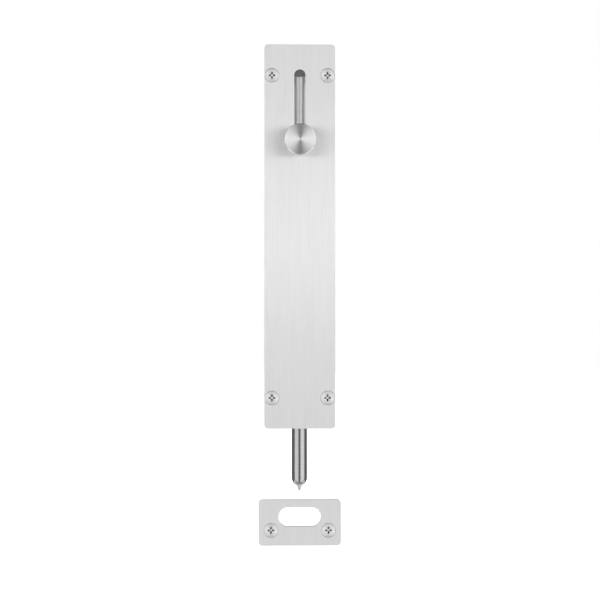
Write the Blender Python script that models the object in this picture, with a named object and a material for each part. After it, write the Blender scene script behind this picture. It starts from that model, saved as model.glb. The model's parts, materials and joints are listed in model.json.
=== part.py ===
"""A flush bolt with its strike plate, bolt thrown.

A flat face plate screws to the door. A round rod slides up and down behind it, held by two guides in
a folded steel channel, and a leaf spring rubs on the rod so that it stays where it is put. A knob in
front of the plate is screwed to the rod through a slot, and the slot's ends stop the rod. The strike
plate lies flat below the rod's tip, in the same plane as the face plate.

Metres, +X right, +Z up along the rod, -Y out of the plate's front. The origin is the middle of the
face plate's back, which is the face that seats on the door.
"""

from math import acos, cos, degrees, pi, radians, sin, sqrt

import bmesh
import bpy

MM = 0.001

# Clearances between pieces.
SEAT_GAP = 0.3 * MM  # where one piece seats on another
CONE_GAP = 0.12 * MM  # round a countersunk head
THREAD_GAP = 0.15 * MM  # round a thread in its hole
SLIDE_GAP = 0.2 * MM  # round the rod in its guides
SLOT_GAP = 0.3 * MM  # each side of the spindle in the slot
HOLE_GAP = 0.3 * MM  # round a shank in a clearance hole

# Face plate.
PLATE_HEIGHT = 200 * MM
PLATE_WIDTH = 37 * MM
PLATE_THICKNESS = 3 * MM
PLATE_CORNER = 2 * MM
EDGE_ROUND = 0.2 * MM
SCREW_EDGE_MARGIN = 0.28 * MM  # from a countersink's rim to the plate's side
SCREW_END_INSET = 16 * MM
SLOT_WIDTH = 6 * MM
SLOT_TOP_INSET = 13 * MM  # from the plate's top to the slot's top end
SLOT_EDGE_ROUND = 0.3 * MM
TRAVEL = 34 * MM

# Rod.
ROD_DIAMETER = 8 * MM
ROD_BEHIND_PLATE = 0.5 * MM
ROD_ABOVE_KNOB = 34 * MM
ROD_PROJECTION = 33 * MM  # below the plate when thrown
ROD_END_CHAMFER = 0.6 * MM
TIP_ROUND = 0.575 * ROD_DIAMETER
TIP_ANGLE = 58  # degrees turned by the tip's round
NOSE_LENGTH = 2.8 * MM
NOSE_BASE_DIAMETER = 0.35 * ROD_DIAMETER
NOSE_END_DIAMETER = 0.8 * MM

# Knob, spindle and glide washer.
KNOB_DIAMETER = 16 * MM
KNOB_HEAD_THICKNESS = 6.5 * MM
KNOB_EDGE_ROUND = 0.5 * MM
NECK_DIAMETER = 9 * MM
NECK_LENGTH = 3 * MM
NECK_FILLET = 0.8 * MM
KNOB_BORE_DEPTH = 6.8 * MM
SPINDLE_THREAD_DIAMETER = 3.7 * MM
SPINDLE_THREAD_IN_KNOB = 6 * MM
SPINDLE_CHAMFER = 0.3 * MM
ROD_BORE_WALL = 1 * MM  # left behind the spindle's blind hole
GLIDE_DIAMETER = 12 * MM
GLIDE_THICKNESS = 1 * MM

# Guides.
GUIDE_LENGTH = 18 * MM
GUIDE_SIDE_WALL = 2.6 * MM
GUIDE_BACK_WALL = 4 * MM
GUIDE_LIP = 0.5 * MM  # how far each lip reaches in front of the rod
GUIDE_CORNER = 1 * MM
GUIDE_TO_KNOB = 6 * MM  # from the spindle's side down to the upper guide
GUIDE_END_INSET = 2 * MM  # from the channel's bottom to the lower guide
GUIDE_SCREW_SPACING = 10 * MM

# Channel.
SHEET = 1.2 * MM
BEND = 0.6 * MM  # inside radius of a fold
CHANNEL_END_INSET = 5 * MM
SIDE_STANDOFF = 4 * MM  # from the plate to the channel's sides, away from the feet
FOOT_LENGTH = 14 * MM
FOOT_END_INSET = 60 * MM  # from the plate's end to the middle of a foot
FOOT_SIDE_INSET = 0.7 * MM

# Machine screws through the channel's back.
PAN_HEAD_DIAMETER = 5.6 * MM
PAN_HEAD_HEIGHT = 1.9 * MM
PAN_HEAD_ROUND = 0.9 * MM
M3_DIAMETER = 3 * MM
PAN_REACH = 2.8 * MM
PAN_WING = 0.7 * MM
PAN_RECESS_DEPTH = 1.1 * MM
GUIDE_SCREW_END_GAP = 0.9 * MM  # from the screw's end to the rod's bore

# Studs, washers and nuts at the channel's feet.
STUD_FLANGE_DIAMETER = 4 * MM
STUD_FLANGE_THICKNESS = 0.8 * MM
STUD_LENGTH = 6.2 * MM
WASHER_DIAMETER = 6 * MM
WASHER_THICKNESS = 0.5 * MM
NUT_ACROSS_FLATS = 5.5 * MM
NUT_THICKNESS = 2.4 * MM

# Leaf spring and its rivet.
LEAF_THICKNESS = 0.4 * MM
LEAF_WIDTH = 7 * MM
LEAF_LENGTH = 44 * MM
LEAF_TAB = 8 * MM  # flat stretch at each end
LEAF_TO_ROD = 0.15 * MM
RIVET_DIAMETER = 2.4 * MM
RIVET_HEAD_DIAMETER = 4.6 * MM
RIVET_HEAD_HEIGHT = 0.9 * MM

# Countersunk wood screws.
WOOD_HEAD_DIAMETER = 7.2 * MM
WOOD_RIM = 0.25 * MM
WOOD_SHANK_DIAMETER = 4 * MM
WOOD_TIP_LENGTH = 5 * MM
WOOD_TIP_END_DIAMETER = 0.3 * MM
HEAD_SINK = 0.05 * MM
PLATE_SCREW_LENGTH = 25 * MM
STRIKE_SCREW_LENGTH = 20 * MM
RECESS_REACH = 3.6 * MM
RECESS_WING = 0.9 * MM
RECESS_DEPTH = 1.9 * MM
RECESS_TAPER = 0.5  # share of the width left at the recess's floor

# Strike plate.
STRIKE_WIDTH = 43 * MM
STRIKE_HEIGHT = 24 * MM
STRIKE_THICKNESS = 2.5 * MM
STRIKE_CORNER = 2 * MM
STRIKE_BELOW_TIP = 4 * MM
STRIKE_SLOT_LENGTH = 22 * MM
STRIKE_ROD_CLEARANCE = 1 * MM
STRIKE_SLOT_FROM_TOP = 9 * MM
STRIKE_SCREW_SPACING = 30 * MM
STRIKE_SCREW_FROM_TOP = 16 * MM

# Facets.
KNOB_STEPS = 40
ROUND_STEPS = 32
SMALL_STEPS = 16
SLOT_STEPS = 12
LEAF_STEPS = 16
CORNER_STEPS = 4
EDGE_STEPS = 2
OVERSHOOT = 1 * MM  # how far a cutter runs past the face it opens

# Places that follow from the sizes.
PLATE_TOP = PLATE_HEIGHT / 2
PLATE_SIDE = PLATE_WIDTH / 2
COUNTERSINK_RADIUS = WOOD_HEAD_DIAMETER / 2 + CONE_GAP
SCREW_X = PLATE_SIDE - SCREW_EDGE_MARGIN - COUNTERSINK_RADIUS
SCREW_Z = PLATE_TOP - SCREW_END_INSET

SLOT_TOP = PLATE_TOP - SLOT_TOP_INSET - SLOT_WIDTH / 2
KNOB_Z = SLOT_TOP - TRAVEL
ROD_RADIUS = ROD_DIAMETER / 2
ROD_Y = ROD_BEHIND_PLATE + ROD_RADIUS
ROD_TOP = KNOB_Z + ROD_ABOVE_KNOB
ROD_TIP = -PLATE_TOP - ROD_PROJECTION
SHOULDER_RADIUS = SLOT_WIDTH / 2 - SLOT_GAP
SPOT_FACE = sqrt(ROD_RADIUS**2 - SHOULDER_RADIUS**2)  # in front of the rod's axis

# Distances in front of the rod's axis, for the knob's stack.
PLATE_FRONT = ROD_Y + PLATE_THICKNESS
GLIDE_BACK = PLATE_FRONT + SEAT_GAP
GLIDE_FRONT = GLIDE_BACK + GLIDE_THICKNESS
KNOB_BACK = GLIDE_FRONT + SEAT_GAP

BORE_RADIUS = ROD_RADIUS + SLIDE_GAP
GUIDE_SIDE = BORE_RADIUS + GUIDE_SIDE_WALL
GUIDE_BACK = ROD_Y + BORE_RADIUS + GUIDE_BACK_WALL
CHANNEL_TOP = PLATE_TOP - CHANNEL_END_INSET
CHANNEL_INNER = GUIDE_SIDE + SEAT_GAP
CHANNEL_OUTER = CHANNEL_INNER + SHEET
CHANNEL_FLOOR = GUIDE_BACK + SEAT_GAP  # inner face of the channel's back
CHANNEL_BACK = CHANNEL_FLOOR + SHEET
UPPER_GUIDE_Z = KNOB_Z - SHOULDER_RADIUS - GUIDE_TO_KNOB - GUIDE_LENGTH / 2
LOWER_GUIDE_Z = -CHANNEL_TOP + GUIDE_END_INSET + GUIDE_LENGTH / 2
LEAF_Z = (UPPER_GUIDE_Z + LOWER_GUIDE_Z) / 2
RIVET_Z = LEAF_Z + LEAF_LENGTH / 2 - LEAF_TAB / 2

FOOT_TIP = PLATE_SIDE - FOOT_SIDE_INSET
FOOT_Z = PLATE_TOP - FOOT_END_INSET
STUD_X = (CHANNEL_OUTER + FOOT_TIP) / 2
FOOT_FACE = SEAT_GAP + SHEET
WASHER_FACE = FOOT_FACE + SEAT_GAP + WASHER_THICKNESS

STRIKE_TOP = ROD_TIP - STRIKE_BELOW_TIP
STRIKE_MIDDLE = STRIKE_TOP - STRIKE_HEIGHT / 2
STRIKE_SCREW_Z = STRIKE_TOP - STRIKE_SCREW_FROM_TOP
STRIKE_SLOT_HEIGHT = ROD_DIAMETER + 2 * STRIKE_ROD_CLEARANCE

TO_FRONT = (radians(90), 0, 0)  # turns local +Z to the front, -Y
TO_BACK = (radians(-90), 0, 0)  # turns local +Z to the back, +Y

STEEL = ((0.62, 0.62, 0.61), 0.32, 1.0)
BRIGHT_STEEL = ((0.66, 0.66, 0.65), 0.2, 1.0)
SCREW_STEEL = ((0.58, 0.57, 0.55), 0.28, 1.0)
ZINC = ((0.56, 0.58, 0.60), 0.35, 1.0)
SPRING_STEEL = ((0.30, 0.29, 0.28), 0.3, 1.0)
BLACK_ACETAL = ((0.025, 0.025, 0.027), 0.45, 0.0)
WHITE_NYLON = ((0.78, 0.77, 0.73), 0.5, 0.0)


def clear_scene():
    for item in list(bpy.data.objects):
        bpy.data.objects.remove(item, do_unlink=True)


# Outlines, as lists of (x, y) points that run anticlockwise.


def arc(centre, radius, start, end, steps):
    """Points on an arc from start to end, in degrees, both ends included."""
    turns = [radians(start + (end - start) * i / steps) for i in range(steps + 1)]
    return [(centre[0] + radius * cos(turn), centre[1] + radius * sin(turn)) for turn in turns]


def circle(radius, steps):
    return arc((0, 0), radius, 0, 360, steps)[:-1]


def rounded_rectangle(half_x, half_y, corner):
    x, y = half_x - corner, half_y - corner
    points = []
    for centre, start in (((x, y), 0), ((-x, y), 90), ((-x, -y), 180), ((x, -y), 270)):
        points += arc(centre, corner, start, start + 90, CORNER_STEPS)
    return points


def obround(radius, low, high):
    """A slot outline along Y, with its end centres at y = low and y = high."""
    return arc((0, high), radius, 0, 180, SLOT_STEPS) + arc((0, low), radius, 180, 360, SLOT_STEPS)


def cross(reach, wing):
    """A plus sign that fits in a square of side reach, with arms as wide as wing."""
    far, near = reach / 2, wing / 2
    points = []
    for turn in range(4):
        c, s = round(cos(turn * pi / 2)), round(sin(turn * pi / 2))
        for x, y in ((far, -near), (far, near), (near, near)):
            points.append((x * c - y * s, x * s + y * c))
    return points


def at_height(outline, z, shift=(0, 0)):
    return [(x + shift[0], y + shift[1], z) for x, y in outline]


# Solids, built into a bmesh from rings of points.


def add_loft(bm, rings, looped=False):
    """Skins rings of equal length. The ends are capped, or joined to each other when looped."""
    rings = [[bm.verts.new(point) for point in ring] for ring in rings]
    pairs = list(zip(rings, rings[1:]))
    if looped:
        pairs.append((rings[-1], rings[0]))
    else:
        bm.faces.new(rings[0])
        bm.faces.new(rings[-1])
    for low, high in pairs:
        for i in range(len(low)):
            j = (i + 1) % len(low)
            bm.faces.new((low[i], low[j], high[j], high[i]))


def add_turned(bm, profile, steps=SMALL_STEPS, shift=(0, 0), looped=False):
    """Turns (radius, z) points about local Z. A looped profile makes a ring."""
    rings = [at_height(circle(radius, steps), z, shift) for radius, z in profile]
    add_loft(bm, rings, looped)


def add_box(bm, low, high):
    corners = ((low[0], low[1]), (high[0], low[1]), (high[0], high[1]), (low[0], high[1]))
    add_loft(bm, [at_height(corners, low[2]), at_height(corners, high[2])])


def piece(name, bm, finish, place=(0, 0, 0), turn=(0, 0, 0), parent=None):
    """Turns a bmesh into a named object with its own material."""
    bmesh.ops.recalc_face_normals(bm, faces=bm.faces)
    mesh = bpy.data.meshes.new(name)
    bm.to_mesh(mesh)
    bm.free()
    mesh.shade_smooth()
    mesh.set_sharp_from_angle(angle=radians(30))
    item = bpy.data.objects.new(name, mesh)
    item.location, item.rotation_euler, item.parent = place, turn, parent
    bpy.context.scene.collection.objects.link(item)
    if finish:
        colour, roughness, metallic = finish
        material = bpy.data.materials.new(name)
        material.use_nodes = True
        shader = material.node_tree.nodes["Principled BSDF"]
        shader.inputs["Base Color"].default_value = (*colour, 1)
        shader.inputs["Roughness"].default_value = roughness
        shader.inputs["Metallic"].default_value = metallic
        mesh.materials.append(material)
    return item


def cut(target, bm, turn=(0, 0, 0)):
    """Cuts a bmesh out of the target, in the target's own frame turned by turn."""
    name = f"{target.name}_cutter_{len(target.modifiers) + 1}"
    cutter = piece(name, bm, None, turn=turn, parent=target)
    cutter.hide_render, cutter.display_type = True, "WIRE"
    modifier = target.modifiers.new("cut", "BOOLEAN")
    modifier.operation, modifier.solver, modifier.object = "DIFFERENCE", "EXACT", cutter


def copy_of(item, name, place):
    """Another object with the same mesh and material, and with cutters of its own."""
    twin = item.copy()
    twin.name, twin.location = name, place
    bpy.context.scene.collection.objects.link(twin)
    for number, modifier in enumerate(twin.modifiers, 1):
        cutter = modifier.object.copy()
        cutter.name, cutter.parent = f"{name}_cutter_{number}", twin
        bpy.context.scene.collection.objects.link(cutter)
        modifier.object = cutter


def copies_of(first, places):
    """Copies of NAME_1 at the other places, called NAME_2 and so on."""
    for number, place in enumerate(places[1:], 2):
        copy_of(first, f"{first.name[:-2]}_{number}", place)


# Flat plates, in a frame with the back at z = 0 and the front at +Z.


def plate(half_x, half_y, thickness, corner):
    """A plate with rounded corners and rounded front edges."""
    bm = bmesh.new()
    rings = [at_height(rounded_rectangle(half_x, half_y, corner), 0)]
    for step in range(EDGE_STEPS + 1):
        angle = radians(90 * step / EDGE_STEPS)
        inset = EDGE_ROUND * (1 - cos(angle))
        outline = rounded_rectangle(half_x - inset, half_y - inset, corner - inset)
        rings.append(at_height(outline, thickness - EDGE_ROUND * (1 - sin(angle))))
    add_loft(bm, rings)
    return bm


def slot_cutter(radius, low, high, thickness, across=False):
    """A slot through a plate, flared where it meets the front."""
    levels = ((0, -OVERSHOOT), (0, thickness - SLOT_EDGE_ROUND))
    levels += ((SLOT_EDGE_ROUND, thickness), (SLOT_EDGE_ROUND, thickness + OVERSHOOT))
    rings = []
    for flare, z in levels:
        outline = obround(radius + flare, low, high)
        rings.append(at_height([(-y, x) for x, y in outline] if across else outline, z))
    bm = bmesh.new()
    add_loft(bm, rings)
    return bm


def countersink_cutter(places, thickness):
    """Countersunk screw holes through a plate."""
    hole = WOOD_SHANK_DIAMETER / 2 + HOLE_GAP
    land = thickness - WOOD_RIM - HEAD_SINK
    profile = (
        (hole, -OVERSHOOT),
        (hole, land - (COUNTERSINK_RADIUS - hole)),
        (COUNTERSINK_RADIUS, land),
        (COUNTERSINK_RADIUS, thickness + OVERSHOOT),
    )
    bm = bmesh.new()
    for place in places:
        add_turned(bm, profile, ROUND_STEPS, place)
    return bm


def round_cutter(radius, low, high, places=((0, 0),)):
    bm = bmesh.new()
    for place in places:
        add_turned(bm, ((radius, low), (radius, high)), shift=place)
    return bm


def make_face_plate():
    bm = plate(PLATE_SIDE, PLATE_TOP, PLATE_THICKNESS, PLATE_CORNER)
    item = piece("face_plate", bm, STEEL, turn=TO_FRONT)
    cut(item, slot_cutter(SLOT_WIDTH / 2, KNOB_Z, SLOT_TOP, PLATE_THICKNESS))
    cut(item, countersink_cutter(plate_screw_places(), PLATE_THICKNESS))


def make_strike_plate():
    half_y = STRIKE_HEIGHT / 2
    bm = plate(STRIKE_WIDTH / 2, half_y, STRIKE_THICKNESS, STRIKE_CORNER)
    item = piece("strike_plate", bm, STEEL, (0, 0, STRIKE_MIDDLE), TO_FRONT)
    radius = STRIKE_SLOT_HEIGHT / 2
    reach = STRIKE_SLOT_LENGTH / 2 - radius
    slot = slot_cutter(radius, -reach, reach, STRIKE_THICKNESS, across=True)
    bmesh.ops.translate(slot, verts=slot.verts, vec=(0, half_y - STRIKE_SLOT_FROM_TOP, 0))
    cut(item, slot)
    places = [(x, z - STRIKE_MIDDLE) for x, z in strike_screw_places()]
    cut(item, countersink_cutter(places, STRIKE_THICKNESS))


# Fasteners, in a frame with the head's seat or top at z = 0 and the shank along -Z.


def plate_screw_places():
    return [(x, z) for z in (SCREW_Z, -SCREW_Z) for x in (-SCREW_X, SCREW_X)]


def strike_screw_places():
    return [(side * STRIKE_SCREW_SPACING / 2, STRIKE_SCREW_Z) for side in (-1, 1)]


def guide_screw_rows():
    guides = (UPPER_GUIDE_Z, LOWER_GUIDE_Z)
    return [guide + side * GUIDE_SCREW_SPACING / 2 for guide in guides for side in (1, -1)]


def recess_cutter(reach, wing, depth, top=0):
    """A cross recess that tapers from the head's top, at z = top, down to its floor."""
    slope = (1 - RECESS_TAPER) / depth
    rings = []
    for z in (-depth, OVERSHOOT):
        share = 1 + slope * z
        rings.append(at_height(cross(reach * share, wing * share), top + z))
    bm = bmesh.new()
    add_loft(bm, rings)
    return bm


def make_wood_screws(name, length, places, thickness):
    """Countersunk screws, their heads just under the plate's front."""
    head, shank = WOOD_HEAD_DIAMETER / 2, WOOD_SHANK_DIAMETER / 2
    profile = (
        (WOOD_TIP_END_DIAMETER / 2, -length),
        (shank, WOOD_TIP_LENGTH - length),
        (shank, -WOOD_RIM - (head - shank)),
        (head, -WOOD_RIM),
        (head, 0),
    )
    bm = bmesh.new()
    add_turned(bm, profile, ROUND_STEPS)
    seats = [(x, HEAD_SINK - thickness, z) for x, z in places]
    first = piece(f"{name}_1", bm, SCREW_STEEL, seats[0], TO_FRONT)
    cut(first, recess_cutter(RECESS_REACH, RECESS_WING, RECESS_DEPTH))
    copies_of(first, seats)


def make_guide_screws():
    """Pan-head screws through the channel's back into the two guides."""
    radius, seat = PAN_HEAD_DIAMETER / 2, CHANNEL_BACK + SEAT_GAP
    length = seat - (ROD_Y + BORE_RADIUS + GUIDE_SCREW_END_GAP)
    profile = [(M3_DIAMETER / 2, -length), (M3_DIAMETER / 2, 0), (radius, 0)]
    centre = (radius - PAN_HEAD_ROUND, PAN_HEAD_HEIGHT - PAN_HEAD_ROUND)
    profile += arc(centre, PAN_HEAD_ROUND, 0, 90, EDGE_STEPS)
    bm = bmesh.new()
    add_turned(bm, profile)
    places = [(0, seat, z) for z in guide_screw_rows()]
    first = piece("guide_screw_1", bm, ZINC, places[0], TO_BACK)
    cut(first, recess_cutter(PAN_REACH, PAN_WING, PAN_RECESS_DEPTH, PAN_HEAD_HEIGHT))
    copies_of(first, places)


def make_foot_fasteners():
    """A weld stud, a washer and a nut at each of the channel's four feet."""
    stud, washer, nut = bmesh.new(), bmesh.new(), bmesh.new()
    flange, shank = STUD_FLANGE_DIAMETER / 2, M3_DIAMETER / 2
    flange_top = SEAT_GAP + STUD_FLANGE_THICKNESS
    profile = ((flange, SEAT_GAP), (flange, flange_top), (shank, flange_top), (shank, STUD_LENGTH))
    add_turned(stud, profile)

    bore, rim = shank + THREAD_GAP, WASHER_DIAMETER / 2
    low, high = WASHER_FACE - WASHER_THICKNESS, WASHER_FACE
    add_turned(washer, ((bore, low), (rim, low), (rim, high), (bore, high)), looped=True)

    # A flat of each nut faces the channel's side.
    hexagon = arc((0, 0), NUT_ACROSS_FLATS / 2 / cos(pi / 6), 30, 390, 6)[:-1]
    low, high = WASHER_FACE + SEAT_GAP, WASHER_FACE + SEAT_GAP + NUT_THICKNESS
    add_loft(nut, [at_height(hexagon, low), at_height(hexagon, high)])

    places = [(x, 0, z) for z in (FOOT_Z, -FOOT_Z) for x in (-STUD_X, STUD_X)]
    copies_of(piece("weld_stud_1", stud, ZINC, places[0], TO_BACK), places)
    copies_of(piece("foot_washer_1", washer, ZINC, places[0], TO_BACK), places)
    first_nut = piece("foot_nut_1", nut, ZINC, places[0], TO_BACK)
    cut(first_nut, round_cutter(bore, low - OVERSHOOT, high + OVERSHOOT))
    copies_of(first_nut, places)


# Channel, guides and leaf spring. Their holes run along Y, so their cutters turn to the back, which
# takes a cutter's (x, y) to the world's (x, -z).


def channel_outline():
    """The folded sheet's section: back, two sides and two feet that lie on the plate."""
    out = BEND + SHEET
    foot_bend = (CHANNEL_OUTER + BEND, FOOT_FACE + BEND)
    back_bend = (CHANNEL_INNER - BEND, CHANNEL_FLOOR - BEND)
    outer = [(FOOT_TIP, FOOT_FACE)]
    outer += arc(foot_bend, BEND, 270, 180, CORNER_STEPS)
    outer += arc(back_bend, out, 0, 90, CORNER_STEPS)
    inner = arc(back_bend, BEND, 90, 0, CORNER_STEPS)
    inner += arc(foot_bend, out, 180, 270, CORNER_STEPS)
    inner += [(FOOT_TIP, SEAT_GAP)]
    mirrored = [(-x, y) for x, y in reversed(outer)] + [(-x, y) for x, y in reversed(inner)]
    return outer + mirrored + inner


def make_channel():
    bm = bmesh.new()
    outline = channel_outline()
    add_loft(bm, [at_height(outline, -CHANNEL_TOP), at_height(outline, CHANNEL_TOP)])
    item = piece("back_channel", bm, ZINC)

    # The sides stand off the plate everywhere but at the four feet.
    between = bmesh.new()
    low_end, high_end = FOOT_Z - FOOT_LENGTH / 2, FOOT_Z + FOOT_LENGTH / 2
    top = CHANNEL_TOP + OVERSHOOT
    for low, high in ((-top, -high_end), (-low_end, low_end), (high_end, top)):
        for side in (-1, 1):
            near, far = sorted((side * (CHANNEL_INNER - OVERSHOOT), side * (FOOT_TIP + OVERSHOOT)))
            add_box(between, (near, -OVERSHOOT, low), (far, SIDE_STANDOFF, high))
    cut(item, between)

    low, high = CHANNEL_FLOOR - OVERSHOOT, CHANNEL_BACK + OVERSHOOT
    screws = [(0, -z) for z in guide_screw_rows()]
    studs = [(x, z) for x in (-STUD_X, STUD_X) for z in (-FOOT_Z, FOOT_Z)]
    cut(item, round_cutter(M3_DIAMETER / 2 + HOLE_GAP, low, high, screws), TO_BACK)
    cut(item, round_cutter(RIVET_DIAMETER / 2 + THREAD_GAP, low, high, [(0, -RIVET_Z)]), TO_BACK)
    foot_hole = STUD_FLANGE_DIAMETER / 2 + HOLE_GAP
    cut(item, round_cutter(foot_hole, -OVERSHOOT, FOOT_FACE + OVERSHOOT, studs), TO_BACK)


def make_guide(name, middle):
    """A block whose bore is open to the front, so that two lips hold the rod."""
    mouth = ROD_RADIUS - GUIDE_LIP
    lip = degrees(acos(mouth / BORE_RADIUS))
    bore = arc((0, ROD_Y), BORE_RADIUS, -lip, 180 + lip, ROUND_STEPS)
    x, y = GUIDE_SIDE - GUIDE_CORNER, GUIDE_BACK - GUIDE_CORNER
    outline = [(mouth, SEAT_GAP), (GUIDE_SIDE, SEAT_GAP)]
    outline += arc((x, y), GUIDE_CORNER, 0, 90, CORNER_STEPS)
    outline += arc((-x, y), GUIDE_CORNER, 90, 180, CORNER_STEPS)
    outline += [(-GUIDE_SIDE, SEAT_GAP), (-mouth, SEAT_GAP)]
    outline += reversed(bore)
    half = GUIDE_LENGTH / 2
    bm = bmesh.new()
    add_loft(bm, [at_height(outline, -half), at_height(outline, half)])
    item = piece(name, bm, BLACK_ACETAL, (0, 0, middle))

    places = [(0, side * GUIDE_SCREW_SPACING / 2) for side in (1, -1)]
    floor = ROD_Y + BORE_RADIUS + GUIDE_SCREW_END_GAP - HOLE_GAP
    top = GUIDE_BACK + OVERSHOOT
    cut(item, round_cutter(M3_DIAMETER / 2 + THREAD_GAP, floor, top, places), TO_BACK)


def make_leaf_spring():
    """A strip with a flat tab at each end and a bow between them that leans on the rod's back."""
    middle_y = CHANNEL_FLOOR - SEAT_GAP - LEAF_THICKNESS / 2
    bow = middle_y - LEAF_THICKNESS / 2 - (ROD_Y + ROD_RADIUS + LEAF_TO_ROD)
    run = LEAF_LENGTH / 2 - LEAF_TAB
    line = [(-LEAF_LENGTH / 2, middle_y, 0)]
    for step in range(LEAF_STEPS + 1):
        z = run * (2 * step / LEAF_STEPS - 1)
        y = middle_y - bow * (1 + cos(pi * z / run)) / 2
        line.append((z, y, bow * pi / run * sin(pi * z / run) / 2))
    line.append((LEAF_LENGTH / 2, middle_y, 0))
    sides = []
    for side in (-1, 1):
        sides.append([])
        for z, y, slope in line:
            offset = side * LEAF_THICKNESS / 2 / sqrt(1 + slope**2)
            sides[-1].append((y + offset, z - offset * slope))
    outline = sides[0] + sides[1][::-1]
    bm = bmesh.new()
    add_loft(bm, [[(x, y, z) for y, z in outline] for x in (-LEAF_WIDTH / 2, LEAF_WIDTH / 2)])
    item = piece("friction_spring", bm, SPRING_STEEL, (0, 0, LEAF_Z))
    hole = round_cutter(RIVET_DIAMETER / 2 + THREAD_GAP, CHANNEL_FLOOR - 2 * OVERSHOOT,
                        CHANNEL_FLOOR + OVERSHOOT, [(0, LEAF_Z - RIVET_Z)])
    cut(item, hole, TO_BACK)


def make_rivet():
    """The rivet through the channel's back and the spring's upper tab, with a head at each end."""
    head, shank = RIVET_HEAD_DIAMETER / 2, RIVET_DIAMETER / 2
    front = CHANNEL_FLOOR - SEAT_GAP - LEAF_THICKNESS - SEAT_GAP
    back = CHANNEL_BACK + SEAT_GAP
    edge = RIVET_HEAD_HEIGHT / 2
    profile = (
        (head - edge, front - RIVET_HEAD_HEIGHT),
        (head, front - edge),
        (head, front),
        (shank, front),
        (shank, back),
        (head, back),
        (head, back + edge),
        (head - edge, back + RIVET_HEAD_HEIGHT),
    )
    bm = bmesh.new()
    add_turned(bm, profile)
    piece("spring_rivet", bm, ZINC, (0, 0, RIVET_Z), TO_BACK)


# The bolt: rod, spindle, glide washer and knob, on an empty where the spindle crosses the rod's axis.


def make_bolt():
    axis = bpy.data.objects.new("bolt_axis", None)
    axis.location = (0, ROD_Y, KNOB_Z)
    bpy.context.scene.collection.objects.link(axis)
    make_rod(axis)
    make_spindle(axis)
    make_knob(axis)
    inner = SHOULDER_RADIUS + THREAD_GAP
    outer = GLIDE_DIAMETER / 2
    bm = bmesh.new()
    ring = ((inner, GLIDE_BACK), (outer, GLIDE_BACK), (outer, GLIDE_FRONT), (inner, GLIDE_FRONT))
    add_turned(bm, ring, ROUND_STEPS, looped=True)
    piece("glide_washer", bm, WHITE_NYLON, turn=TO_FRONT, parent=axis)


def make_rod(axis):
    tip, top = ROD_TIP - KNOB_Z, ROD_TOP - KNOB_Z
    nose = NOSE_BASE_DIAMETER / 2
    shoulder = ROD_RADIUS - TIP_ROUND * (1 - cos(radians(TIP_ANGLE)))
    cone = (shoulder - nose) * cos(radians(TIP_ANGLE)) / sin(radians(TIP_ANGLE))
    centre = (ROD_RADIUS - TIP_ROUND, tip + NOSE_LENGTH + cone + TIP_ROUND * sin(radians(TIP_ANGLE)))
    profile = [(NOSE_END_DIAMETER / 2, tip), (nose, tip + NOSE_LENGTH)]
    profile += arc(centre, TIP_ROUND, -TIP_ANGLE, 0, CORNER_STEPS)
    profile += [(ROD_RADIUS, top - ROD_END_CHAMFER), (ROD_RADIUS - ROD_END_CHAMFER, top)]
    bm = bmesh.new()
    add_turned(bm, profile, ROUND_STEPS)
    item = piece("bolt_rod", bm, BRIGHT_STEEL, parent=axis)

    thread, shoulder = SPINDLE_THREAD_DIAMETER / 2 + THREAD_GAP, SHOULDER_RADIUS + THREAD_GAP
    profile = (
        (thread, ROD_BORE_WALL - ROD_RADIUS),
        (thread, SPOT_FACE),
        (shoulder, SPOT_FACE),
        (shoulder, ROD_RADIUS + OVERSHOOT),
    )
    cutter = bmesh.new()
    add_turned(cutter, profile)
    cut(item, cutter, TO_FRONT)


def make_spindle(axis):
    """A stepped pin: its shoulder runs in the plate's slot, and both ends are threaded."""
    thread, small = SPINDLE_THREAD_DIAMETER / 2, SPINDLE_THREAD_DIAMETER / 2 - SPINDLE_CHAMFER
    back = ROD_BORE_WALL - ROD_RADIUS + SEAT_GAP
    front = KNOB_BACK + SPINDLE_THREAD_IN_KNOB
    profile = (
        (small, back),
        (thread, back + SPINDLE_CHAMFER),
        (thread, SPOT_FACE + SEAT_GAP),
        (SHOULDER_RADIUS, SPOT_FACE + SEAT_GAP),
        (SHOULDER_RADIUS, GLIDE_FRONT),
        (thread, GLIDE_FRONT),
        (thread, front - SPINDLE_CHAMFER),
        (small, front),
    )
    bm = bmesh.new()
    add_turned(bm, profile)
    piece("knob_spindle", bm, BRIGHT_STEEL, turn=TO_FRONT, parent=axis)


def make_knob(axis):
    """A round head on a neck, with a blind threaded hole in its back."""
    bore, neck = SPINDLE_THREAD_DIAMETER / 2 + THREAD_GAP, NECK_DIAMETER / 2
    head, edge = KNOB_DIAMETER / 2, KNOB_EDGE_ROUND
    head_back = KNOB_BACK + NECK_LENGTH
    front = head_back + KNOB_HEAD_THICKNESS
    profile = [(bore, KNOB_BACK + KNOB_BORE_DEPTH), (bore, KNOB_BACK), (neck, KNOB_BACK)]
    fillet = (neck + NECK_FILLET, head_back - NECK_FILLET)
    profile += arc(fillet, NECK_FILLET, 180, 90, EDGE_STEPS)
    profile += arc((head - edge, head_back + edge), edge, -90, 0, EDGE_STEPS)
    profile += arc((head - edge, front - edge), edge, 0, 90, EDGE_STEPS)
    bm = bmesh.new()
    add_turned(bm, profile, KNOB_STEPS)
    piece("knob", bm, BRIGHT_STEEL, turn=TO_FRONT, parent=axis)


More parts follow.
